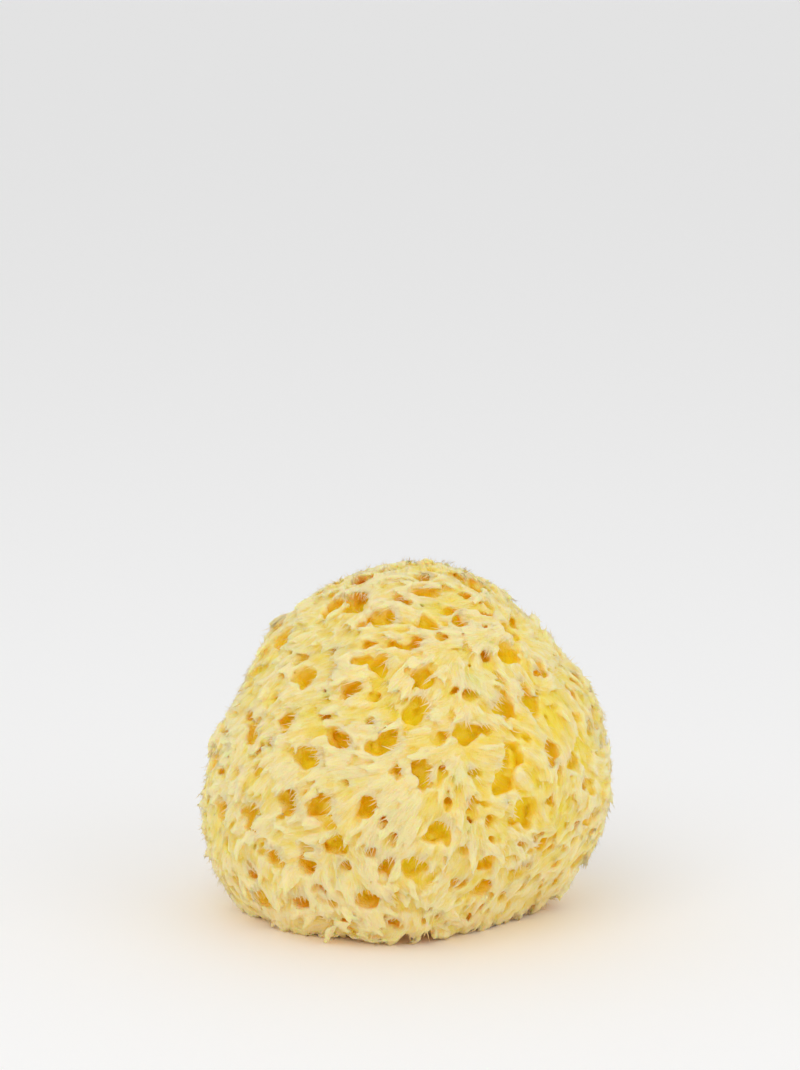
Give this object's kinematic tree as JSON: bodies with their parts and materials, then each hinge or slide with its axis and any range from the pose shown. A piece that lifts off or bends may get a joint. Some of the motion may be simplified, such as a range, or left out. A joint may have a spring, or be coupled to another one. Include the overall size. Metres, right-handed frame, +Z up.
{
  "type": "sea sponge",
  "caption": "Natural honeycomb bath sponge: a pale yellow dome of soft fibre, open pits all over, cut flat where it grew on rock.",
  "frame": {"origin": "on the flat cut base, under the middle of the sponge", "axes": "+Z up out of the cut base; +X across the longest side; the sponge's best face looks along -Y"},
  "size_m": [0.0948, 0.0878, 0.0797],
  "materials": {
    "spongin": "bleached pale yellow spongin fibre, matt, soft and slightly see-through, deeper yellow down in the pits"
  },
  "bodies": {
    "root": {"sponge": "spongin"}
  },
  "joints": []
}
